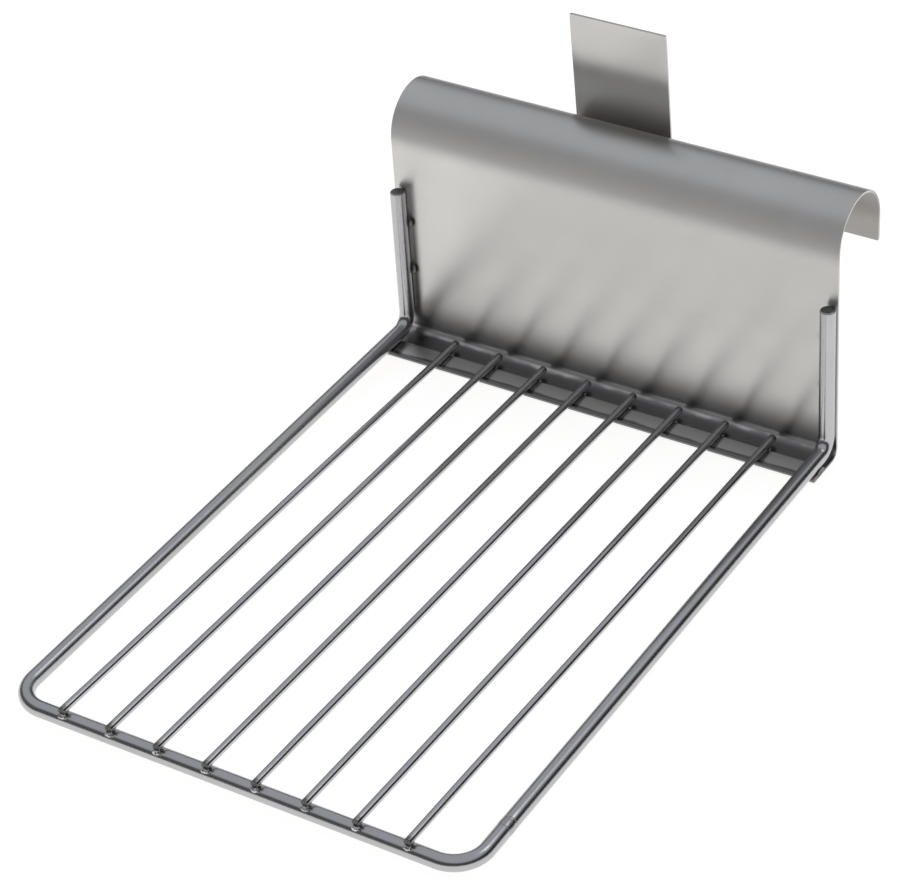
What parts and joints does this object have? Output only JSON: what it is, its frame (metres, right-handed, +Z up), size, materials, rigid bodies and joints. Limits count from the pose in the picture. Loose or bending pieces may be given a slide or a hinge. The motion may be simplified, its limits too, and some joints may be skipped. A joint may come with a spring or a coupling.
{
  "type": "hook-on drying rack",
  "caption": "Flat wire drying rack in a bent rod frame, welded to a sheet plate whose rolled top edge hooks over a ledge, with a lift tab behind it.",
  "frame": {"origin": "middle of the hook's inner crest line, the line the rack hangs by", "axes": "+X along the plate to the right as seen from the rack's free end, +Y from the rack towards the ledge it hangs on, +Z up"},
  "size_m": [0.1917, 0.3017, 0.1425],
  "materials": {
    "sheet_satin": "satin cold-rolled stainless sheet, fine grain along the width",
    "tab_satin": "satin cold-rolled stainless sheet, guillotined edges",
    "rod_polished": "bright drawn stainless rod, lightly polished",
    "weld_ground": "butt weld ground flush with the rod, ring-shaped grinding marks",
    "wire_drawn": "bright drawn stainless wire, sheared ends",
    "weld_bead": "small unground weld bead, dulled and darkened by heat"
  },
  "bodies": {
    "root": {"hook_plate": "sheet_satin", "lift_tab": "tab_satin", "frame_rod_long": "rod_polished", "frame_rod_short": "rod_polished", "frame_butt_weld": "weld_ground", "wire_1": "wire_drawn", "wire_2": "wire_drawn", "wire_3": "wire_drawn", "wire_4": "wire_drawn", "wire_5": "wire_drawn", "wire_6": "wire_drawn", "wire_7": "wire_drawn", "wire_8": "wire_drawn", "front_weld_1": "weld_bead", "front_weld_2": "weld_bead", "front_weld_3": "weld_bead", "front_weld_4": "weld_bead", "front_weld_5": "weld_bead", "front_weld_6": "weld_bead", "front_weld_7": "weld_bead", "front_weld_8": "weld_bead", "rear_weld_1": "weld_bead", "rear_weld_2": "weld_bead", "rear_weld_3": "weld_bead", "rear_weld_4": "weld_bead", "rear_weld_5": "weld_bead", "rear_weld_6": "weld_bead", "rear_weld_7": "weld_bead", "rear_weld_8": "weld_bead", "leg_tack_left_1": "weld_bead", "leg_tack_left_2": "weld_bead", "leg_tack_right_1": "weld_bead", "leg_tack_right_2": "weld_bead", "lip_weld_left": "weld_bead", "lip_weld_right": "weld_bead", "tab_weld_left": "weld_bead", "tab_weld_right": "weld_bead"}
  },
  "joints": []
}
